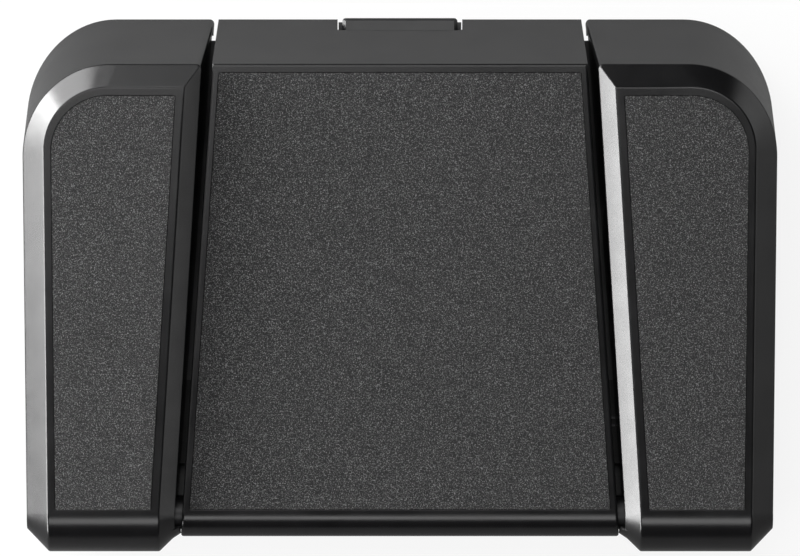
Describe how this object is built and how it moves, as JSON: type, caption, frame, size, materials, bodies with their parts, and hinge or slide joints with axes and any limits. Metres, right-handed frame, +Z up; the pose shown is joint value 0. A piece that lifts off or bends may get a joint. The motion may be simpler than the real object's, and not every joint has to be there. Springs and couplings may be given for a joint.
{
  "type": "usb foot pedal switch",
  "caption": "Foot switch with a wide flat centre pedal between two raised chamfered side pedals on a steel tray, hinged at the rounded front, with a rear port.",
  "frame": {"origin": "middle of the footprint on the floor, under the rubber feet", "axes": "+X to the right of the user, +Y to the tall rear edge and the port, +Z up"},
  "size_m": [0.2394, 0.1756, 0.0581],
  "materials": {
    "pedal_plastic": "fine satin moulding",
    "grip_rubber": "coarse grain",
    "tray_steel": "powder coat",
    "foot_rubber": "matte",
    "stop_rubber": "matte",
    "bracket_zinc": "as cast",
    "bright_steel": "ground",
    "spring_steel": "drawn wire",
    "screw_steel": "zinc plated",
    "bush_bronze": "sintered",
    "nylon": "moulded",
    "switch_plastic": "moulded",
    "plunger_plastic": "moulded",
    "board_laminate": "solder mask",
    "chip_epoxy": "moulded",
    "header_plastic": "moulded",
    "lead_jacket": "satin",
    "socket_metal": "plated",
    "dark_plastic": "moulded",
    "port_plastic": "moulded"
  },
  "bodies": {
    "base": {"base_tray": "tray_steel", "board_components": "chip_epoxy", "board_headers": "header_plastic", "board_screws": "screw_steel", "board_spacers": "nylon", "center_spring": "spring_steel", "center_spring_seat": "nylon", "center_stop_bumper": "stop_rubber", "center_stop_post": "bright_steel", "center_switch": "switch_plastic", "controller_chip": "chip_epoxy", "front_feet": "foot_rubber", "hinge_shaft": "bright_steel", "inner_lead": "lead_jacket", "lead_clip": "nylon", "lead_plugs": "header_plastic", "left_inner_bracket": "bracket_zinc", "left_outer_bracket": "bracket_zinc", "left_spring": "spring_steel", "left_spring_seat": "nylon", "left_stop_bumper": "stop_rubber", "left_stop_post": "bright_steel", "left_switch": "switch_plastic", "port_block": "port_plastic", "port_board": "board_laminate", "port_board_screws": "screw_steel", "port_insulator": "dark_plastic", "port_screws": "screw_steel", "rear_feet": "foot_rubber", "right_inner_bracket": "bracket_zinc", "right_outer_bracket": "bracket_zinc", "right_spring": "spring_steel", "right_spring_seat": "nylon", "right_stop_bumper": "stop_rubber", "right_stop_post": "bright_steel", "right_switch": "switch_plastic", "shaft_clips": "bright_steel", "socket_shell": "socket_metal", "socket_tongue": "dark_plastic", "stop_washers": "stop_rubber", "switch_board": "board_laminate", "tray_screws": "screw_steel"},
    "left_pedal": {"left_pedal_shell": "pedal_plastic", "left_grip_pad": "grip_rubber", "left_bushes": "bush_bronze"},
    "left_button": {"left_plunger": "plunger_plastic"},
    "center_pedal": {"center_pedal_shell": "pedal_plastic", "center_grip_pad": "grip_rubber", "center_bushes": "bush_bronze"},
    "center_button": {"center_plunger": "plunger_plastic"},
    "right_pedal": {"right_pedal_shell": "pedal_plastic", "right_grip_pad": "grip_rubber", "right_bushes": "bush_bronze"},
    "right_button": {"right_plunger": "plunger_plastic"}
  },
  "joints": [
    {"name": "left_press", "type": "hinge", "parent": "base", "child": "left_pedal", "pos_m": [0, -0.0757, 0.0194], "axis": [-1, 0, 0], "range_deg": [0, 2], "stiffness_Nm_per_rad": 6, "springref_deg": -20.05, "deforming": ["left_spring"]},
    {"name": "center_press", "type": "hinge", "parent": "base", "child": "center_pedal", "pos_m": [0, -0.0757, 0.0194], "axis": [-1, 0, 0], "range_deg": [0, 2], "stiffness_Nm_per_rad": 6, "springref_deg": -20.05, "deforming": ["center_spring"]},
    {"name": "right_press", "type": "hinge", "parent": "base", "child": "right_pedal", "pos_m": [0, -0.0757, 0.0194], "axis": [-1, 0, 0], "range_deg": [0, 2], "stiffness_Nm_per_rad": 6, "springref_deg": -20.05, "deforming": ["right_spring"]},
    {"name": "left_plunge", "type": "slide", "parent": "base", "child": "left_button", "axis": [0, 0, -1], "range_m": [0, 0.0012]},
    {"name": "center_plunge", "type": "slide", "parent": "base", "child": "center_button", "axis": [0, 0, -1], "range_m": [0, 0.0012]},
    {"name": "right_plunge", "type": "slide", "parent": "base", "child": "right_button", "axis": [0, 0, -1], "range_m": [0, 0.0012]}
  ],
  "couplings": [
    {"joint": "left_plunge", "follows": "left_press", "m_per_rad": 0.034},
    {"joint": "center_plunge", "follows": "center_press", "m_per_rad": 0.034},
    {"joint": "right_plunge", "follows": "right_press", "m_per_rad": 0.034}
  ]
}
